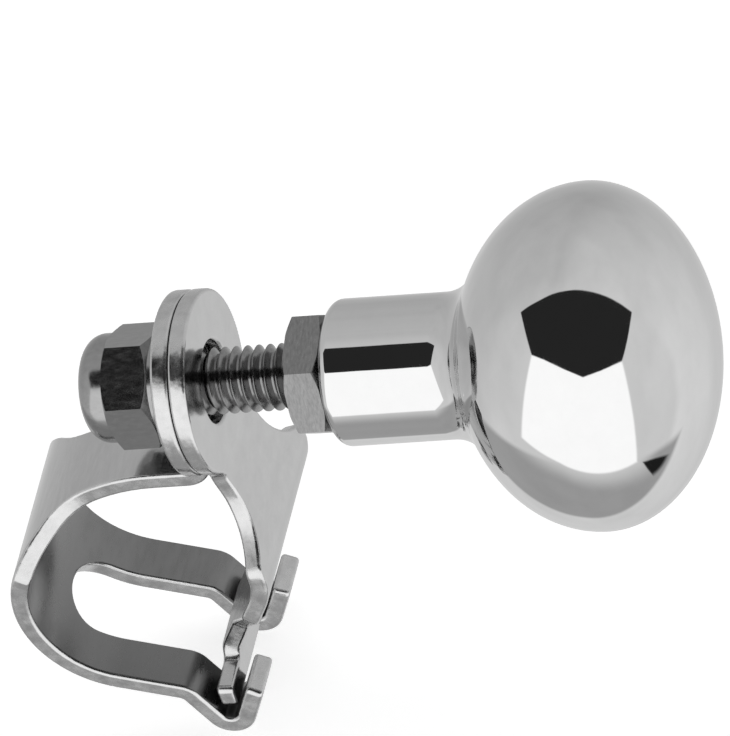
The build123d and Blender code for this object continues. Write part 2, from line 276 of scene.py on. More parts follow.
def cut_off(bm: BMesh, place: Vector, facing: Vector) -> None:
    """Cut away what lies past a plane, and close the cut.

    Args:
        bm: the mesh.
        place: a point of the plane.
        facing: the plane's normal, on the side that is cut away.
    """
    cut = bmesh.ops.bisect_plane(
        bm, geom=everything(bm), dist=MERGE, plane_co=place, plane_no=facing, clear_outer=True
    )
    rim = [piece for piece in cut["geom_cut"] if isinstance(piece, bmesh.types.BMEdge)]
    bmesh.ops.contextual_create(bm, geom=rim)


def turned(
    bm: BMesh,
    profile: Sequence[Point],
    closed: bool,
    steps: int,
    turns: int = 1,
    rise: float = 0.0,
) -> None:
    """Turn a profile about the X axis.

    Args:
        bm: the mesh that gets the turned shape.
        profile: pairs of place along the axis and radius.
        closed: whether the profile's last point joins its first.
        steps: how many faces go round.
        turns: how often it goes round.
        rise: how far it moves along the axis in a turn.
    """
    edges = chain(bm, profile, closed)
    verts = dict.fromkeys(vert for edge in edges for vert in edge.verts)
    bmesh.ops.spin(
        bm,
        geom=[*verts, *edges],
        cent=(0.0, 0.0, 0.0),
        axis=(1.0, 0.0, 0.0),
        dvec=(rise / steps, 0.0, 0.0),
        angle=2 * pi * turns,
        steps=steps * turns,
        use_merge=rise == 0.0,
    )
    bmesh.ops.remove_doubles(bm, verts=bm.verts[:], dist=MERGE * (2 if rise else 1))


def cut_flats(bm: BMesh, apothem: float, turn: float, edge_round: float) -> None:
    """Cut six flats along the X axis into a turned shape and break their edges.

    Args:
        bm: the turned mesh.
        apothem: how far the flats are from the axis.
        turn: the angle of the first flat's normal from +Y, in degrees.
        edge_round: how far the broken edges reach.
    """
    normals = []
    for number in range(6):
        angle = radians(turn + 60 * number)
        normal = Vector((0.0, cos(angle), sin(angle)))
        normals.append(normal)
        cut_off(bm, normal * apothem, normal)
    bm.normal_update()
    flats = {face for face in bm.faces if any(face.normal.dot(normal) > 0.9999 for normal in normals)}
    flats = {face for face in flats if face.calc_area() > apothem}
    rims = [edge for edge in bm.edges if any(face in flats for face in edge.link_faces)]
    round_edges(bm, rims, edge_round, 2, True)


def place_on_stud(bm: BMesh) -> None:
    """Bring a mesh from millimetres along the X axis to its place on the stud's axis, in metres."""
    bmesh.ops.scale(bm, verts=bm.verts[:], vec=(MM, MM, MM))
    bmesh.ops.translate(bm, verts=bm.verts[:], vec=CONTACT_POINT)


@dataclass(frozen=True)
class Run:
    """One stretch of a bent sheet: straight, or an arc with its radius on the sheet's left side."""

    length: float
    radius: float = 0.0
    turn: Turn = Turn.LEFT


@dataclass(frozen=True)
class BendPath:
    """The side view of a bent sheet, followed down from the top of its tab."""

    start: Point
    runs: tuple[Run, ...]

    def length(self) -> float:
        """How long the sheet's left side is."""
        return sum(run.length for run in self.runs)

    def place(self, along: float) -> tuple[float, float, float]:
        """Where a point of the sheet's left side goes.

        Args:
            along: how far down the sheet it is.

        Returns:
            Its x and z, and the angle at which the sheet runs there.
        """
        x, z = self.start
        heading = -pi / 2
        for run in self.runs:
            step = min(along, run.length)
            if run.radius == 0.0:
                x += step * cos(heading)
                z += step * sin(heading)
            else:
                side = run.turn.value * run.radius
                x -= side * sin(heading)
                z += side * cos(heading)
                heading += step / side
                x += side * sin(heading)
                z -= side * cos(heading)
            along -= step
            if along <= 0.0:
                break
        return (x, z, heading)

    def point(self, along: float, depth: float) -> Point:
        """Where a point of the sheet goes.

        Args:
            along: how far down the sheet's left side it is.
            depth: how far under that side.

        Returns:
            Its x and z.
        """
        x, z, heading = self.place(along)
        return (x + depth * sin(heading), z - depth * cos(heading))

    def find(self, direction: Point, reach: float, depth: float, first: float, last: float) -> float:
        """Find how far down the sheet a point is that lies at a reach in some direction.

        Args:
            direction: the direction in x and z.
            reach: the point's place in that direction.
            depth: the point's depth in the sheet.
            first: a place along the sheet before it.
            last: a place along the sheet after it.

        Returns:
            The point's place along the sheet.
        """

        def over(along: float) -> float:
            """How far a place on the sheet lies past the reach."""
            x, z = self.point(along, depth)
            return x * direction[0] + z * direction[1] - reach

        rising = over(last) > over(first)
        for _ in range(40):
            middle = (first + last) / 2
            if (over(middle) > 0) == rising:
                last = middle
            else:
                first = middle
        return (first + last) / 2

    def cuts(self, step: float) -> list[float]:
        """Where the flat sheet is cut across so that it can bend.

        Args:
            step: the turn between two cuts, in radians.

        Returns:
            The cuts' places along the sheet.
        """
        places: list[float] = []
        along = 0.0
        for run in self.runs:
            count = 1 if run.radius == 0.0 else ceil(run.length / run.radius / step)
            places += [along + run.length * i / count for i in range(count)]
            along += run.length
        return places[1:]


@dataclass
class BentSheet:
    """A jaw cut from steel sheet and bent. Sizes are in millimetres."""

    sheet: float = 2.2
    edge_round: float = 0.45
    tab_top: float = 36.8
    tab_radius: float = 11.0
    step: float = radians(4)
    rim_side: float = 1.0

    def path(self) -> BendPath:
        """The sheet's side view."""
        raise NotImplementedError

    def outline(self, path: BendPath) -> list[Point]:
        """The flat sheet's outline on one side of its middle line.

        Args:
            path: the sheet's side view.

        Returns:
            Pairs of place along the sheet and place across it.
        """
        raise NotImplementedError

    def shade(self, vert: bmesh.types.BMVert) -> Vector:
        """Find the way a point of the flat sheet faces, with its faces and cut walls kept flat.

        Args:
            vert: the point, before the sheet is bent.

        Returns:
            Its shading normal.
        """
        faces = [face for face in vert.link_faces if abs(face.normal.z) > 0.999]
        if faces:
            return faces[0].normal.copy()
        walls = [face for face in vert.link_faces if abs(face.normal.z) < 0.001]
        if walls:
            return sum((face.normal * face.calc_area() for face in walls), Vector()).normalized()
        return vert.normal.copy()

    def mesh(self) -> tuple[BMesh, list[Vector]]:
        """Cut the flat sheet, give it its thickness and round edges, and bend it.

        Returns:
            The finished mesh, in metres, and its vertices' shading normals.
        """
        path = self.path()
        bm = bmesh.new()
        bmesh.ops.contextual_create(bm, geom=chain(bm, self.outline(path), True))
        bmesh.ops.mirror(bm, geom=everything(bm), merge_dist=MERGE, axis="Y")
        bmesh.ops.remove_doubles(bm, verts=bm.verts[:], dist=MERGE)
        grown = bmesh.ops.extrude_face_region(bm, geom=bm.faces[:])["geom"]
        raised = [piece for piece in grown if isinstance(piece, bmesh.types.BMVert)]
        bmesh.ops.translate(bm, verts=raised, vec=(0.0, 0.0, self.sheet))
        bmesh.ops.recalc_face_normals(bm, faces=bm.faces[:])
        bm.normal_update()
        rims = [e for e in bm.edges if sum(abs(face.normal.z) > 0.5 for face in e.link_faces) == 1]
        round_edges(bm, rims, self.edge_round, 3, False)
        for along in path.cuts(self.step):
            bmesh.ops.bisect_plane(
                bm, geom=everything(bm), dist=MERGE, plane_co=(along, 0.0, 0.0), plane_no=(1.0, 0.0, 0.0)
            )
        bm.normal_update()
        for face in bm.faces:
            if abs(face.normal.z) < 0.9:
                face.material_index = 2
            elif face.normal.z * self.rim_side > 0:
                # The rim side gets the darker copy of the steel, which paints the shade inside the bends
                face.material_index = 1
        normals: list[Vector] = []
        for vert in bm.verts:
            x, z, heading = path.place(vert.co.x)
            flat = self.shade(vert)
            normals.append(
                Vector(
                    (
                        flat.x * cos(heading) + flat.z * sin(heading),
                        flat.y,
                        flat.x * sin(heading) - flat.z * cos(heading),
                    )
                )
            )
            vert.co.x, vert.co.z = x + vert.co.z * sin(heading), z - vert.co.z * cos(heading)
        bmesh.ops.scale(bm, verts=bm.verts[:], vec=(MM, MM, MM))
        return bm, normals

    def make(self, finishes: Sequence[Material], name: str, body: str, replaced: str) -> None:
        """Make the jaw as a piece of the object.

        Args:
            finishes: what its buffed side, its rim side (darkened as painted shade) and its edges are
                finished with.
            name: the piece's name.
            body: the moving body it rides on.
            replaced: the node that it stands for.
        """
        bm, normals = self.mesh()
        make_piece(bm, name, finishes, body, replaced, normals=normals)


@dataclass
class OuterJaw(BentSheet):
    """The jaw that wraps round the rim and carries the hook. Sizes are in millimetres."""

    face_x: float = 15.0
    rim_radius: float = 11.2
    leave_angle: float = 251.2
    neck_under: float = 13.9
    neck_end_x: float = 7.0
    neck_bend: float = 3.7
    neck_half: float = 5.4
    half_width: float = 11.5
    shoulder_angle: float = 125.0
    shoulder_start: float = -5.195
    shoulder_reach: float = 2.9
    shoulder_corner: float = 1.8
    shoulder_hollow: float = 10.0
    slot_half: float = 5.1
    slot_angle: float = 233.37
    hook_x: float = 8.3
    hook_z: float = -20.157
    hook_slope: float = 62.0
    hook_lead_bend: float = 3.2
    hook_bend: float = 1.0
    hook_tip: float = 6.8
    tip_corner: float = 0.7
    hole_radius: float = 4.6
    rim_side: float = -1.0

    def path(self) -> BendPath:
        """Follow the jaw down its tab, out along the neck, round the rim and into the hook.

        Returns:
            The side view of its inner face.
        """
        rise = self.neck_under - self.rim_radius
        crown = (self.neck_end_x**2 + self.neck_under**2 - self.rim_radius**2) / (2 * rise)
        crown_turn = atan2(self.neck_end_x, crown - self.neck_under)
        wrap = radians(self.leave_angle - 90) - crown_turn
        leave_heading = radians(self.leave_angle - 270)
        leave = (
            self.rim_radius * cos(radians(self.leave_angle)),
            self.rim_radius * sin(radians(self.leave_angle)),
        )
        lead_turn = radians(self.hook_slope) + leave_heading
        slope = radians(self.hook_slope)
        reach_x, reach_z = self.hook_x - leave[0], self.hook_z - leave[1]
        run = (reach_x * sin(slope) + reach_z * cos(slope)) / sin(leave_heading + slope)
        fall = (leave[1] + run * sin(leave_heading) - self.hook_z) / sin(slope)
        hook_turn = 2 * slope
        lead_back = self.hook_lead_bend * tan(lead_turn / 2)
        hook_back = self.hook_bend * tan(hook_turn / 2)
        return BendPath(
            (self.face_x, self.tab_top),
            (
                Run(self.tab_top - self.neck_under - self.neck_bend),
                Run(self.neck_bend * pi / 2, self.neck_bend, Turn.RIGHT),
                Run(self.face_x - self.neck_bend - self.neck_end_x),
                Run(crown * crown_turn, crown),
                Run(self.rim_radius * wrap, self.rim_radius),
                Run(run - lead_back),
                Run(self.hook_lead_bend * lead_turn, self.hook_lead_bend, Turn.RIGHT),
                Run(fall - lead_back - hook_back),
                Run(self.hook_bend * hook_turn, self.hook_bend),
                Run(self.hook_tip - hook_back),
            ),
        )

    def outline(self, path: BendPath) -> list[Point]:
        """Half of the flat jaw: tab, neck, shoulder, leg and slot.

        Args:
            path: the jaw's side view.

        Returns:
            Pairs of place along the sheet and place across it.
        """
        middle = self.sheet / 2
        shoulder = (sin(radians(self.shoulder_angle)), -cos(radians(self.shoulder_angle)))
        slot = (-sin(radians(self.slot_angle)), cos(radians(self.slot_angle)))
        neck = sum(run.length for run in path.runs[:2])
        round_rim = sum(run.length for run in path.runs[:5])
        end = path.length()
        hollow = path.find(shoulder, self.shoulder_reach, middle, neck, round_rim)
        wide = path.find(shoulder, self.shoulder_start, middle, neck, round_rim)
        tab_turn = pi - asin(self.neck_half / self.tab_radius)
        tab = arc((self.tab_radius, 0.0), self.tab_radius, pi, -tab_turn, self.step)
        side = rounded(
            (
                Corner(*tab[-1]),
                Corner(hollow, self.neck_half, self.shoulder_hollow),
                Corner(wide, self.half_width, self.shoulder_corner),
                Corner(end, self.half_width, self.tip_corner),
                Corner(end, self.slot_half, self.tip_corner),
                Corner(path.find(slot, 0.0, middle, neck, end), self.slot_half),
            ),
            self.step * 2,
        )
        slot_end = [
            (path.find(slot, reach, middle, neck, end), across)
            for reach, across in arc((0.0, 0.0), self.slot_half, pi / 2, pi / 2, self.step * 2)
        ]
        hole = arc((self.tab_radius, 0.0), self.hole_radius, 0.0, pi, self.step * 2)
        return [*tab, *side[1:-1], *slot_end[:-1], (slot_end[-1][0], 0.0), *hole]


@dataclass
class InnerJaw(BentSheet):
    """The jaw that stands with its T-shaped foot in the hook. Sizes are in millimetres."""

    face_x: float = 17.2
    tab_bend_z: float = 16.2
    tab_bend: float = 6.0
    belly_x: float = 20.3
    belly_z: float = 3.0
    belly_bend: float = 8.5
    heel_x: float = 9.4
    heel_z: float = -14.1
    heel_bend: float = 1.5
    foot_z: float = -17.9
    foot_top: float = -14.9
    foot_half: float = 10.5
    foot_corner: float = 0.8
    waist_half: float = 6.6
    waist_z: float = 14.0
    tab_root: float = 2.0
    flare_radius: float = 8.3
    half_width: float = 12.5
    flare_corner: float = 1.8
    cheek_z: float = -2.0
    tongue_half: float = 4.9
    tongue_z: float = -9.87
    tongue_corner: float = 1.2
    hole_radius: float = 4.92

    def path(self) -> BendPath:
        """Follow the jaw down its tab, over the belly and in to the heel.

        Returns:
            The side view of its outer face.
        """
        corners = (
            (self.face_x, self.tab_top),
            (self.face_x, self.tab_bend_z),
            (self.belly_x, self.belly_z),
            (self.heel_x, self.heel_z),
            (self.heel_x, self.foot_z),
        )
        bends = (self.tab_bend, self.belly_bend, self.heel_bend)
        headings = [atan2(b[1] - a[1], b[0] - a[0]) for a, b in zip(corners, corners[1:])]
        runs: list[Run] = []
        spent = 0.0
        for number, bend in enumerate(bends):
            turn = headings[number + 1] - headings[number]
            back = bend * tan(abs(turn) / 2)
            runs.append(Run(hypot(*(Vector(corners[number + 1]) - Vector(corners[number]))) - spent - back))
            runs.append(Run(bend * abs(turn), bend, Turn.LEFT if turn > 0 else Turn.RIGHT))
            spent = back
        runs.append(Run(corners[-2][1] - corners[-1][1] - spent))
        return BendPath(corners[0], tuple(runs))

    def outline(self, path: BendPath) -> list[Point]:
        """Half of the flat jaw: tab, waist, flared cheek, tongue and foot.

        Args:
            path: the jaw's side view.

        Returns:
            Pairs of place along the sheet and place across it.
        """
        end = path.length()
        disc_z = self.tab_top - self.tab_radius

        def along(z: float) -> float:
            """Where on the sheet a height is."""
            return path.find((0.0, 1.0), z, self.sheet / 2, 0.0, end)

        root_across = self.waist_half + self.tab_root
        root_drop = sqrt((self.tab_radius + self.tab_root) ** 2 - root_across**2)
        root_turn = atan2(root_across, -root_drop)
        root_sweep = root_turn - pi / 2
        tab = arc((0.0, disc_z), self.tab_radius, pi / 2, -root_turn, self.step)
        root = arc((root_across, disc_z - root_drop), self.tab_root, pi - root_sweep, root_sweep, 0.2)
        flare_across = self.waist_half + self.flare_radius
        cheek_across = self.half_width - self.flare_corner
        reach = self.flare_radius + self.flare_corner
        flare_turn = acos((flare_across - cheek_across) / reach)
        flare = arc((flare_across, self.waist_z), self.flare_radius, pi, flare_turn, self.step * 2)
        cheek_top = (cheek_across, self.waist_z - reach * sin(flare_turn))
        cheek = arc(cheek_top, self.flare_corner, flare_turn, -flare_turn, self.step * 3)
        upper = [(along(z), across) for across, z in [*tab, *root[1:], *flare, *cheek[1:]]]
        lower = rounded(
            (
                Corner(*upper[-1]),
                Corner(along(self.cheek_z), self.half_width, self.flare_corner),
                Corner(along(self.tongue_z), self.tongue_half, self.tongue_corner),
                Corner(along(self.foot_top), self.tongue_half, self.tongue_corner),
                Corner(along(self.foot_top), self.foot_half, self.foot_corner),
                Corner(end, self.foot_half, self.foot_corner),
                Corner(end, 0.0),
            ),
            self.step * 2,
        )
        hole = arc((self.tab_radius, 0.0), self.hole_radius, 0.0, pi, self.step * 2)
        return [(0.0, 0.0), *upper[1:-1], *lower, *hole]


@dataclass
class LockNut:
    """The nut with a domed end. Sizes are in millimetres; x counts from where the two tabs meet."""

    face_x: float = -2.3
    apothem: float = 6.5
    flats_turn: float = 7.0
    washer_radius: float = 6.3
    washer_length: float = 1.9
    hex_length: float = 5.7
    chamfer_angle: float = 30.0
    dome_radius: float = 6.49
    dome_length: float = 3.5
    dome_round: float = 2.5
    mouth_radius: float = 4.9
    seat_radius: float = 5.45
    seat_length: float = 2.6
    bore_radius: float = 4.02
    lip: float = 0.25
    edge_round: float = 0.14

    def profile(self) -> list[Point]:
        """Draw the turned shape that the flats are cut into.

        Returns:
            Pairs of place along the axis and radius.
        """
        hex_x = self.face_x - self.washer_length
        dome_x = hex_x - self.hex_length
        end_x = dome_x - self.dome_length
        corner = self.apothem / cos(pi / 6)
        slope = tan(radians(self.chamfer_angle))
        cone = (corner - self.washer_radius) * slope
        dome_cone = (corner - self.dome_radius) * slope
        round_x = end_x + self.dome_round
        flat_radius = self.dome_radius - self.dome_round
        mouth_turn = asin((self.mouth_radius - flat_radius) / self.dome_round)
        dome = arc((round_x, flat_radius), self.dome_round, pi / 2, pi / 2 - mouth_turn, 0.1)
        return [
            (self.face_x, self.bore_radius + self.lip),
            (self.face_x, self.washer_radius - self.lip),
            (self.face_x - self.lip, self.washer_radius),
            (hex_x, self.washer_radius),
            (hex_x - cone, corner),
            (dome_x + dome_cone, corner),
            (dome_x, self.dome_radius),
            *dome,
            (dome_x - self.seat_length, self.mouth_radius),
            (dome_x - self.seat_length, self.seat_radius),
            (dome_x, self.seat_radius),
            (dome_x, self.bore_radius),
            (self.face_x - self.lip, self.bore_radius),
        ]

    def make(self, steel: Material) -> None:
        """Make the nut as a piece of the object.

        Args:
            steel: the nut's finish.
        """
        bm = bmesh.new()
        turned(bm, self.profile(), True, ROUND_STEPS)
        cut_flats(bm, self.apothem, self.flats_turn, self.edge_round)
        place_on_stud(bm)
        make_piece(bm, "domed_nut", (steel,), "nut", "lock_nut", 25.0)


@dataclass
class Stud:
    """The threaded stud with its collar and journal. Sizes are in millimetres, as in the nut."""

    crest_radius: float = 3.97
    pitch: float = 25.4 / 18
    lead_in: float = 0.8
    thread_start: float = -11.5
    collar_x: float = 13.0
    collar_length: float = 4.3
    apothem: float = 6.85
    flats_turn: float = 44.5
    chamfer: float = 0.9
    chamfer_angle: float = 30.0
    shoulder_radius: float = 4.1
    shoulder_length: float = 1.1
    journal_radius: float = 3.0
    groove_x: float = 33.5
    groove_radius: float = 2.8
    groove_length: float = 0.7
    end_x: float = 35.5
    end_chamfer: float = 0.3
    edge_round: float = 0.22
    overlap: float = 0.3
    crest_ease: float = 0.05
    turn_steps: int = 60

    def thread(self) -> BMesh:
        """Sweep one pitch of the thread round and along the stud, and chamfer its end.

        Returns:
            The closed thread, in millimetres along the X axis.
        """
        # Flanks of 60 degrees, 5/8 as deep as a sharp thread, over a flat root a quarter pitch wide
        flank = self.pitch * 5 / 16
        root = self.pitch / 4
        root_radius = self.crest_radius - flank * sqrt(3)
        ease = self.crest_ease
        first = self.thread_start - 2 * self.pitch
        stop = self.collar_x + self.overlap
        ridge = [
            (first, root_radius + ease),
            (first + ease, root_radius),
            (first + root - ease, root_radius),
            (first + root, root_radius + ease),
            (first + root + flank, self.crest_radius - ease),
            (first + root + flank + ease, self.crest_radius),
            (first + self.pitch - flank - ease, self.crest_radius),
            (first + self.pitch - flank, self.crest_radius - ease),
            (first + self.pitch, root_radius + ease),
        ]
        turns = ceil((stop - first) / self.pitch) + 1
        bm = bmesh.new()
        turned(bm, ridge, False, self.turn_steps, turns, self.pitch)
        for place, facing in ((self.thread_start, -1.0), (stop, 1.0)):
            cut_off(bm, Vector((place, 0.0, 0.0)), Vector((facing, 0.0, 0.0)))
        for vert in bm.verts:
            radius = hypot(vert.co.y, vert.co.z)
            most = self.crest_radius - self.lead_in + vert.co.x - self.thread_start
            if radius > most:
                vert.co.y *= most / radius
                vert.co.z *= most / radius
        return bm

    def profile(self) -> list[Point]:
        """Draw the turned shape of collar, shoulder and journal.

        Returns:
            Pairs of place along the axis and radius.
        """
        shoulder_x = self.collar_x + self.collar_length
        journal_x = shoulder_x + self.shoulder_length
        corner = self.apothem / cos(pi / 6)
        back = self.chamfer * tan(radians(self.chamfer_angle))
        groove_end = self.groove_x + self.groove_length
        return [
            (self.collar_x - self.overlap, 0.0),
            (self.collar_x - self.overlap, self.journal_radius),
            (self.collar_x, self.journal_radius),
            (self.collar_x, corner - self.chamfer),
            (self.collar_x + back, corner),
            (shoulder_x - back, corner),
            (shoulder_x, corner - self.chamfer),
            (shoulder_x, self.shoulder_radius),
            (journal_x, self.shoulder_radius),
            (journal_x, self.journal_radius),
            (self.groove_x, self.journal_radius),
            (self.groove_x, self.groove_radius),
            (groove_end, self.groove_radius),
            (groove_end, self.journal_radius),
            (self.end_x - self.end_chamfer, self.journal_radius),
            (self.end_x, self.journal_radius - self.end_chamfer),
            (self.end_x, 0.0),
        ]

    def make(self, collar: Material, thread: Material) -> None:
        """Make the stud as one piece of the object.

        Args:
            collar: the finish of the collar and what lies behind it.
            thread: the finish of the thread.
        """
        bm = bmesh.new()
        turned(bm, self.profile(), False, ROUND_STEPS)
        cut_flats(bm, self.apothem, self.flats_turn, self.edge_round)
        swept = bpy.data.meshes.new("swept_thread")
        thread_bm = self.thread()
        thread_bm.to_mesh(swept)
        thread_bm.free()
        plain = len(bm.faces)
        bm.from_mesh(swept)
        bpy.data.meshes.remove(swept)
        bm.faces.ensure_lookup_table()
        for face in bm.faces[plain:]:
            face.material_index = 1
        place_on_stud(bm)
        make_piece(bm, "threaded_stud", (collar, thread), "stud", "stud", 28.0)


@dataclass
class Knob:
    """The necked and hollow flattened ball. Sizes are in millimetres, as in the nut."""

    neck_x: float = 17.7
    neck_radius: float = 8.7
    neck_lip: float = 1.2
    neck_flare: float = 5.0
    ball_x: float = 49.7
    ball_radius: float = 20.6
    near_depth: float = 16.4
    far_depth: float = 13.9
    wall: float = 3.0
    bore_radius: float = 6.5
    bore_chamfer: float = 0.25
    groove_x: float = 18.5
    groove_end_x: float = 19.5
    groove_radius: float = 6.9
    bore_end_x: float = 33.5
    passage_radius: float = 5.6
    steps: int = 192

    def shell(self, near: float, far: float, radius: float, start: float) -> list[Point]:
        """Follow the flattened ball from a place on its near side to its far end.

        Args:
            near: how deep its near half is.
            far: how deep its far half is.
            radius: its radius.
            start: the angle where the line starts, from the near pole.

        Returns:
            The points, the far pole last.
        """
        count = 56
        line: list[Point] = []
        for i in range(count + 1):
            angle = start + (pi - start) * i / count
            depth = near if angle < pi / 2 else far
            line.append((self.ball_x - depth * cos(angle), radius * sin(angle)))
        line[-1] = (line[-1][0], 0.0)
        return line

    def flare(self) -> tuple[Point, float]:
        """Find the circle that eases the neck into the ball.

        Returns:
            The circle's centre and the angle on the ball where it ends.
        """
        low, high = 0.0, pi / 2
        centre = (0.0, 0.0)
        for _ in range(50):
            angle = (low + high) / 2
            out_x, out_r = -cos(angle) / self.near_depth, sin(angle) / self.ball_radius
            scale = self.neck_flare / hypot(out_x, out_r)
            centre = (
                self.ball_x - self.near_depth * cos(angle) + out_x * scale,
                self.ball_radius * sin(angle) + out_r * scale,
            )
            if centre[1] < self.neck_radius + self.neck_flare:
                low = angle
            else:
                high = angle
        return centre, low

    def profile(self) -> list[Point]:
        """Draw the knob's whole wall, from the outer far pole round to the cavity's.

        Returns:
            Pairs of place along the axis and radius.
        """
        centre, end = self.flare()
        outside = self.shell(self.near_depth, self.far_depth, self.ball_radius, end)
        touch = atan2(outside[0][1] - centre[1], outside[0][0] - centre[0])
        flare = arc(centre, self.neck_flare, touch, -pi / 2 - touch, 0.1)
        lip_centre = (self.neck_x + self.neck_lip, self.neck_radius - self.neck_lip)
        lip = arc(lip_centre, self.neck_lip, pi / 2, pi / 2, 0.2)
        start = asin(self.passage_radius / (self.ball_radius - self.wall))
        inside = self.shell(
            self.near_depth - self.wall, self.far_depth - self.wall, self.ball_radius - self.wall, start
        )
        return [
            *reversed(outside),
            *flare[1:],
            *lip,
            (self.neck_x, self.bore_radius + self.bore_chamfer),
            (self.neck_x + self.bore_chamfer, self.bore_radius),
            (self.groove_x, self.bore_radius),
            (self.groove_x, self.groove_radius),
            (self.groove_end_x, self.groove_radius),
            (self.groove_end_x, self.bore_radius),
            (self.bore_end_x, self.bore_radius),
            (self.bore_end_x, self.passage_radius),
            *inside,
        ]

    def make(self, polish: Material) -> None:
        """Make the knob as a piece of the object.

        Args:
            polish: the knob's finish.
        """
        bm = bmesh.new()
        turned(bm, self.profile(), False, self.steps)
        place_on_stud(bm)
        make_piece(bm, "hollow_knob", (polish,), "knob", "knob", 30.0)


@dataclass(frozen=True)
class Metal:
    """Bare steel, with the marks that its making left. Sizes are in millimetres."""

    name: str
    colour: str
    dark: str
    roughness: float
    rough_spread: float
    mark: tuple[float, float, float]
    mark_height: float
    swell: float = 6.0
    swell_height: float = 0.0

    def material(self) -> Material:
        """Build the finish from its nodes.

        Returns:
            The new material.
        """
        material, tree = new_material(self.name)
        place = add_node(tree, "ShaderNodeTexCoord").outputs["Object"]
        stretched = add_node(
            tree,
            "ShaderNodeMapping",
            {"Vector": place, "Scale": tuple(1 / (size * MM) for size in self.mark)},
        )
        marks = add_node(
            tree,
            "ShaderNodeTexNoise",
            {"Vector": stretched.outputs["Vector"], "Scale": 1.0, "Detail": 5.0, "Roughness": 0.6},
        ).outputs["Fac"]
        waves = add_node(
            tree, "ShaderNodeTexNoise", {"Vector": place, "Scale": 1 / (self.swell * MM), "Detail": 2.0}
        )
        tone = add_node(tree, "ShaderNodeMix", {0: marks}, data_type="RGBA")
        tone.inputs[6].default_value = linear(self.dark)
        tone.inputs[7].default_value = linear(self.colour)
        rough = add_node(
            tree,
            "ShaderNodeMapRange",
            {
                "Value": marks,
                "From Min": NOISE_RANGE[0],
                "From Max": NOISE_RANGE[1],
                "To Min": max(0.0, self.roughness - self.rough_spread),
                "To Max": self.roughness + self.rough_spread,
            },
        )
        fine = add_node(
            tree, "ShaderNodeBump", {"Height": marks, "Strength": 1.0, "Distance": self.mark_height * MM}
        )
        swells = add_node(
            tree,
            "ShaderNodeBump",
            {
                "Height": waves.outputs["Fac"],
                "Strength": 1.0,
                "Distance": self.swell_height * MM,
                "Normal": fine.outputs["Normal"],
            },
        )
        shader = add_node(
            tree,
            "ShaderNodeBsdfPrincipled",
            {
                "Base Color": tone.outputs[2],
                "Metallic": 1.0,
                "Roughness": rough.outputs["Result"],
                "Normal": swells.outputs["Normal"],
            },
        )
        add_node(tree, "ShaderNodeOutputMaterial", {"Surface": shader.outputs["BSDF"]})
        return material


@dataclass(frozen=True)
class Nylon:
    """Natural nylon, moulded: milky, with light going a little way in. Sizes are in millimetres."""

    name: str = "moulded_natural_nylon"
    colour: str = "#E9E6DC"
    roughness: tuple[float, float] = (0.38, 0.5)
    grain: float = 0.4
    grain_height: float = 0.01
    light_depth: float = 0.5

    def material(self) -> Material:
        """Build the finish from its nodes.

        Returns:
            The new material.
        """
        material, tree = new_material(self.name)
        place = add_node(tree, "ShaderNodeTexCoord").outputs["Object"]
        grain = add_node(
            tree, "ShaderNodeTexNoise", {"Vector": place, "Scale": 1 / (self.grain * MM), "Detail": 3.0}
        ).outputs["Fac"]
        rough = add_node(
            tree,
            "ShaderNodeMapRange",
            {"Value": grain, "To Min": self.roughness[0], "To Max": self.roughness[1]},
        )
        fine = add_node(tree, "ShaderNodeBump", {"Height": grain, "Distance": self.grain_height * MM})
        shader = add_node(
            tree,
            "ShaderNodeBsdfPrincipled",
            {
                "Base Color": linear(self.colour),
                "Roughness": rough.outputs["Result"],
                "IOR": 1.53,
                "Subsurface Weight": 0.15,
                "Subsurface Scale": self.light_depth * MM,
                "Normal": fine.outputs["Normal"],
            },
        )
        add_node(tree, "ShaderNodeOutputMaterial", {"Surface": shader.outputs["BSDF"]})
        return material


@dataclass(frozen=True)
class Patch:
    """A part of the studio seen round the object. Each of its sides runs through three directions."""

    middle: Direction
    sides: tuple[tuple[Direction, Direction, Direction], ...]
    strength: float
    softness: float
    spread: float = 0.0

    def cover(self, tree: Tree, direction: Socket) -> Socket:
        """Draw the patch's area on the sphere of directions.

        Args:
            tree: the world's node tree.
            direction: the direction that is looked in.

        Returns:
            One inside the patch and zero outside it.
        """
        inside: Socket | None = None
        for first, second, third in self.sides:
            start = Vector(first)
            side = (Vector(second) - start).cross(Vector(third) - start).normalized()
            if side.dot(Vector(self.middle) - start) < 0:
                side.negate()
            reach = add_node(
                tree, "ShaderNodeVectorMath", {0: direction, 1: tuple(side)}, operation="DOT_PRODUCT"
            ).outputs["Value"]
            over = add_node(
                tree, "ShaderNodeMath", {0: reach, 1: self.spread - side.dot(start)}, operation="ADD"
            ).outputs[0]
            if inside is None:
                inside = over
            else:
                inside = add_node(
                    tree, "ShaderNodeMath", {0: inside, 1: over}, operation="MINIMUM"
                ).outputs[0]
        return add_node(
            tree,
            "ShaderNodeMapRange",
            {"Value": inside, "From Min": -self.softness, "From Max": self.softness},
            interpolation_type="SMOOTHSTEP",
        ).outputs["Result"]

    def paint(self, tree: Tree, direction: Socket, shade: Socket) -> Socket:
        """Lay the patch over a shade that lies behind it.

        Args:
            tree: the world's node tree.
            direction: the direction that is looked in.
            shade: the strength of what lies behind the patch.

        Returns:
            The strength of what is then seen.
        """
        cover = self.cover(tree, direction)
        return add_node(
            tree, "ShaderNodeMix", {0: cover, 2: shade, 3: self.strength}, data_type="FLOAT"
        ).outputs[0]


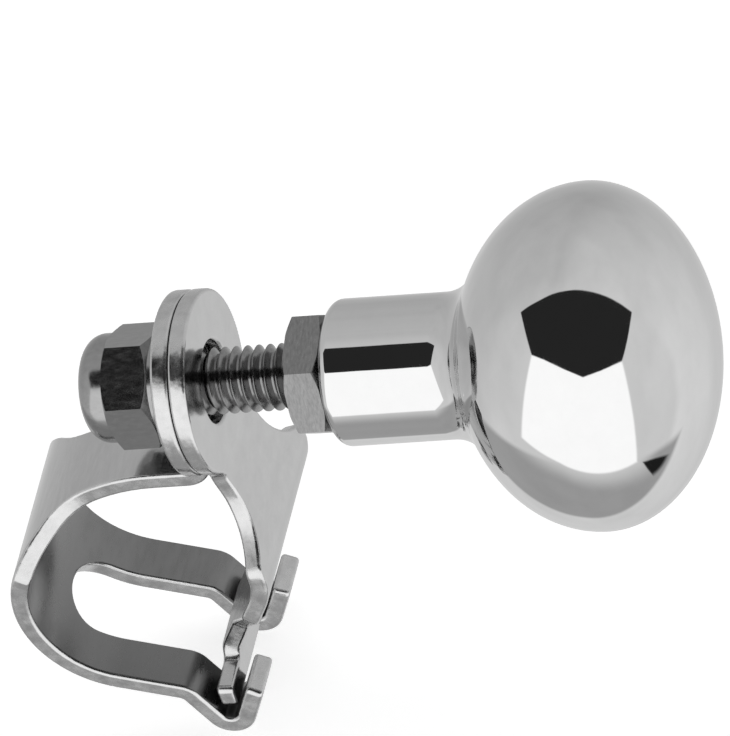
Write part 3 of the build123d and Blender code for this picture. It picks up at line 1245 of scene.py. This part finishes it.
# Directions where the studio's areas meet, seen from the object
OPENING_FAR_LEFT = (-0.636, -0.129, 0.761)
PANEL_TOP_LEFT = (-0.482, -0.591, 0.647)
OPENING_TIP = (0.571, -0.717, 0.400)
PANEL_TOP_RIGHT = (0.978, -0.183, 0.100)
OPENING_FAR_RIGHT = (0.952, 0.250, 0.175)
PANEL_LOW_LEFT = (-0.744, -0.623, -0.242)
PANEL_LOW_RIGHT = (0.635, -0.270, -0.723)
OPENING = Patch(
    (0.615, -0.386, 0.688),
    (
        (OPENING_FAR_LEFT, (0.406, 0.026, 0.914), OPENING_FAR_RIGHT),
        (OPENING_FAR_LEFT, (-0.566, -0.368, 0.738), PANEL_TOP_LEFT),
        (PANEL_TOP_LEFT, (0.051, -0.773, 0.633), OPENING_TIP),
        (OPENING_TIP, (0.839, -0.474, 0.269), PANEL_TOP_RIGHT),
        (PANEL_TOP_RIGHT, (0.989, 0.038, 0.143), OPENING_FAR_RIGHT),
    ),
    strength=0.03,
    softness=0.008,
)
PANEL_SIDES = (
    (PANEL_TOP_LEFT, (-0.670, -0.719, 0.184), PANEL_LOW_LEFT),
    (PANEL_LOW_LEFT, (0.018, -0.822, -0.569), PANEL_LOW_RIGHT),
    (PANEL_TOP_RIGHT, (0.872, -0.293, -0.393), PANEL_LOW_RIGHT),
    (PANEL_TOP_LEFT, PANEL_TOP_RIGHT, (0.0, 0.0, 0.0)),
)
PANEL = Patch((0.359, -0.933, 0.010), PANEL_SIDES, strength=1.7, softness=0.02)
PANEL_GLOW = Patch((0.359, -0.933, 0.010), PANEL_SIDES, strength=1.0, softness=0.16, spread=0.12)
FOLDS = Patch(
    (0.921, 0.064, -0.384),
    (
        (PANEL_TOP_RIGHT, (0.872, -0.293, -0.393), PANEL_LOW_RIGHT),
        ((0.962, 0.266, 0.054), (0.850, 0.360, -0.390), (0.620, 0.120, -0.775)),
        (PANEL_LOW_RIGHT, (0.620, 0.120, -0.775), (0.0, 0.0, 0.0)),
    ),
    strength=1.0,
    softness=0.04,
)
UNDER = Patch(
    (-0.041, -0.543, -0.839),
    (
        ((-0.729, 0.132, -0.672), (-0.246, -0.065, -0.967), (0.539, 0.207, -0.817)),
        ((-0.870, -0.150, -0.400), (0.600, -0.310, -0.700), (0.600, 0.200, -0.750)),
    ),
    strength=0.53,
    softness=0.03,
)
GAP = Patch(
    (0.583, -0.014, -0.813),
    (
        ((0.633, -0.187, -0.751), (0.625, -0.013, -0.781), (0.569, 0.144, -0.810)),
        ((0.569, 0.144, -0.810), (0.525, 0.089, -0.846), (0.494, -0.005, -0.869)),
        ((0.494, -0.005, -0.869), (0.578, -0.115, -0.808), (0.633, -0.187, -0.751)),
    ),
    strength=0.02,
    softness=0.008,
)


@dataclass(frozen=True)
class Studio:
    """A pale tent with one dark opening, a bright panel in front, and a pale floor.

    The floor's place and width are in metres, its fibres in millimetres. The walls go from the
    front of the tent to its back.
    """

    floor_z: float = -0.0213
    floor_half: float = 1.5
    floor_colour: str = "#F2F2F2"
    floor_glow: float = 0.62
    fibre: float = 0.8
    fibre_height: float = 0.01
    walls: tuple[Point, ...] = ((0.0, 1.0), (0.4, 0.9), (0.55, 0.78), (0.8, 0.72), (1.0, 0.62))
    low_gain: float = 1.2
    side_gain: float = 1.28
    mottle: float = 0.05
    mottle_scale: float = 2.2

    def world(self) -> None:
        """Surround the object with the tent."""
        world = bpy.data.worlds.new("pale_tent")
        world.use_nodes = True
        tree = world.node_tree
        tree.nodes.clear()
        direction = add_node(tree, "ShaderNodeTexCoord").outputs["Generated"]
        axes = add_node(tree, "ShaderNodeSeparateXYZ", {0: direction}).outputs
        back = add_node(tree, "ShaderNodeMapRange", {"Value": axes["Y"], "From Min": -1.0, "From Max": 1.0})
        walls = add_node(tree, "ShaderNodeValToRGB", {0: back.outputs["Result"]})
        stops = walls.color_ramp.elements
        while len(stops) < len(self.walls):
            stops.new(1.0)
        for stop, (place, grey) in zip(stops, self.walls):
            stop.position = place
            stop.color = (grey, grey, grey, 1.0)
        low = add_node(
            tree,
            "ShaderNodeMapRange",
            {"Value": axes["Z"], "From Min": 0.1, "From Max": -0.6, "To Min": 1.0, "To Max": self.low_gain},
        )
        side = add_node(
            tree,
            "ShaderNodeMapRange",
            {"Value": axes["X"], "From Min": 0.0, "From Max": 0.7, "To Min": 1.0, "To Max": self.side_gain},
        )
        cloth = add_node(
            tree, "ShaderNodeTexNoise", {"Vector": direction, "Scale": self.mottle_scale, "Detail": 3.0}
        )
        mottle = add_node(
            tree,
            "ShaderNodeMapRange",
            {
                "Value": cloth.outputs["Fac"],
                "From Min": NOISE_RANGE[0],
                "From Max": NOISE_RANGE[1],
                "To Min": 1.0 - self.mottle,
                "To Max": 1.0 + self.mottle,
            },
        )
        shade = walls.outputs["Color"]
        for factor in (low, side):
            shade = add_node(
                tree, "ShaderNodeMath", {0: shade, 1: factor.outputs["Result"]}, operation="MULTIPLY"
            ).outputs[0]
        for patch in (FOLDS, UNDER):
            shade = patch.paint(tree, direction, shade)
        shade = add_node(
            tree, "ShaderNodeMath", {0: shade, 1: mottle.outputs["Result"]}, operation="MULTIPLY"
        ).outputs[0]
        for patch in (PANEL_GLOW, PANEL, GAP, OPENING):
            shade = patch.paint(tree, direction, shade)
        background = add_node(tree, "ShaderNodeBackground", {"Strength": shade})
        add_node(tree, "ShaderNodeOutputWorld", {"Surface": background.outputs["Background"]})
        bpy.context.scene.world = world

    def floor(self) -> None:
        """Lay a pale floor that shows white and keeps the object's shadow."""
        bm = bmesh.new()
        bmesh.ops.create_grid(bm, x_segments=2, y_segments=2, size=self.floor_half)
        bmesh.ops.translate(bm, verts=bm.verts[:], vec=(0.0, 0.0, self.floor_z))
        mesh = bpy.data.meshes.new("floor")
        bm.to_mesh(mesh)
        bm.free()
        material, tree = new_material("matt_white_paper")
        place = add_node(tree, "ShaderNodeTexCoord").outputs["Object"]
        fibres = add_node(
            tree, "ShaderNodeTexNoise", {"Vector": place, "Scale": 1 / (self.fibre * MM), "Detail": 3.0}
        )
        raised = add_node(
            tree, "ShaderNodeBump", {"Height": fibres.outputs["Fac"], "Distance": self.fibre_height * MM}
        )
        paper = add_node(
            tree,
            "ShaderNodeBsdfDiffuse",
            {"Color": linear(self.floor_colour), "Normal": raised.outputs["Normal"]},
        )
        seen = add_node(tree, "ShaderNodeLightPath").outputs["Is Camera Ray"]
        level = add_node(tree, "ShaderNodeMath", {0: seen, 1: self.floor_glow}, operation="MULTIPLY")
        glow = add_node(tree, "ShaderNodeEmission", {"Strength": level.outputs[0]})
        both = add_node(tree, "ShaderNodeAddShader", {0: paper.outputs[0], 1: glow.outputs[0]})
        add_node(tree, "ShaderNodeOutputMaterial", {"Surface": both.outputs[0]})
        mesh.materials.append(material)
        floor = bpy.data.objects.new("floor", mesh)
        bpy.context.scene.collection.objects.link(floor)
        floor.visible_glossy = False


@dataclass(frozen=True)
class Viewpoint:
    """Where the photograph was taken from. Directions are in the row's frame, lengths in metres."""

    right: Direction = (0.9426, 0.1897, -0.2749)
    up: Direction = (0.0620, 0.7095, 0.7020)
    back: Direction = (0.3282, -0.6787, 0.6570)
    aside: float = 0.0196
    above: float = 0.001656
    distance: float = 2.787
    lens: float = 1168.6
    sensor: float = 36.0

    def camera(self) -> None:
        """Set up the camera and make it the scene's."""
        right, up, back = Vector(self.right), Vector(self.up), Vector(self.back)
        target = CONTACT_POINT + right * self.aside + up * self.above
        data = bpy.data.cameras.new("camera")
        data.lens = self.lens
        data.sensor_width = self.sensor
        data.sensor_fit = "HORIZONTAL"
        data.clip_start = 0.05
        data.clip_end = 10.0
        camera = bpy.data.objects.new("camera", data)
        bpy.context.scene.collection.objects.link(camera)
        turn = Matrix((right, up, back)).transposed().to_quaternion()
        camera.matrix_world = Matrix.LocRotScale(target + back.normalized() * self.distance, turn, None)
        bpy.context.scene.camera = camera


def dress_hidden(steel: Material, nylon: Material) -> None:
    """Give the nodes that keep their CAD shape their finish.

    Args:
        steel: the finish of the bearings, spacers and rings.
        nylon: the finish of the nut's ring.
    """
    for name, node in frame["nodes"].items():
        if node.hide_render:
            continue
        node.data.materials.clear()
        node.data.materials.append(nylon if name == "nylon_insert" else steel)
        log.info("%s: CAD shape, %s", name, node.data.materials[0].name)


def main() -> None:
    """Build the camera, the studio and every piece."""
    logging.basicConfig(level=logging.INFO, format="%(message)s")
    bpy.context.scene.view_settings.view_transform = "Standard"
    Viewpoint().camera()
    studio = Studio()
    studio.world()
    studio.floor()
    # Cold-rolled stainless sheet, tumbled and buffed: soft reflections, with short scratches
    sheet = Metal(
        "buffed_stainless_sheet", "#D2D2D2", "#BEBEBE", roughness=0.13, rough_spread=0.05,
        mark=(0.5, 3.0, 3.0), mark_height=0.004, swell=5.0, swell_height=0.02,
    )
    # The sheet's rim side, with painted shade: a much darker and duller copy of the same steel stands in
    # for the shade inside the bends
    rolled_side = Metal(
        "painted_shade_stainless_sheet", "#929292", "#747474", roughness=0.3, rough_spread=0.08,
        mark=(0.8, 4.0, 4.0), mark_height=0.008, swell=6.0, swell_height=0.03,
    )
    # Its sheared edges, tumbled round: brighter, uneven, with light caught along them
    tumbled = Metal(
        "tumbled_stainless_edge", "#E2E2E2", "#B0B0B0", roughness=0.24, rough_spread=0.1,
        mark=(1.6, 1.6, 1.6), mark_height=0.02, swell=2.4, swell_height=0.09,
    )
    # Nut of cold-headed stainless steel, satin: greyer, with wide soft highlights
    satin = Metal(
        "satin_stainless_nut", "#AEAEAE", "#929292", roughness=0.2, rough_spread=0.06,
        mark=(1.2, 0.6, 0.6), mark_height=0.006, swell=3.0, swell_height=0.02,
    )
    # Collar milled and brushed along the stud: fine scratches across its light
    brushed = Metal(
        "brushed_stainless_collar", "#B0B0B0", "#787878", roughness=0.16, rough_spread=0.07,
        mark=(2.2, 0.18, 0.18), mark_height=0.012,
    )
    # Rolled thread: smooth, a little darker where oil and dust stay in it
    rolled = Metal(
        "rolled_stainless_thread", "#A6A6A6", "#646464", roughness=0.2, rough_spread=0.08,
        mark=(0.25, 0.9, 0.9), mark_height=0.008,
    )
    # Mirror-polished stainless casting: a clear picture of the studio, with the faintest waves
    mirror = Metal(
        "mirror_polished_stainless", "#DCDCDC", "#D6D6D6", roughness=0.035, rough_spread=0.015,
        mark=(2.5, 2.5, 2.5), mark_height=0.001, swell=7.0, swell_height=0.012,
    )
    # Ground and honed bearing steel
    ground = Metal(
        "ground_bearing_steel", "#C6C6C8", "#B4B4B6", roughness=0.14, rough_spread=0.04,
        mark=(0.4, 0.2, 0.2), mark_height=0.002,
    )
    finishes = (sheet.material(), rolled_side.material(), tumbled.material())
    OuterJaw().make(finishes, "rim_jaw", "clamp", "outer_jaw")
    InnerJaw().make(finishes, "belly_jaw", "inner_jaw", "inner_jaw")
    LockNut().make(satin.material())
    Stud().make(brushed.material(), rolled.material())
    Knob().make(mirror.material())
    dress_hidden(ground.material(), Nylon().material())


if __name__ == "__main__":
    main()
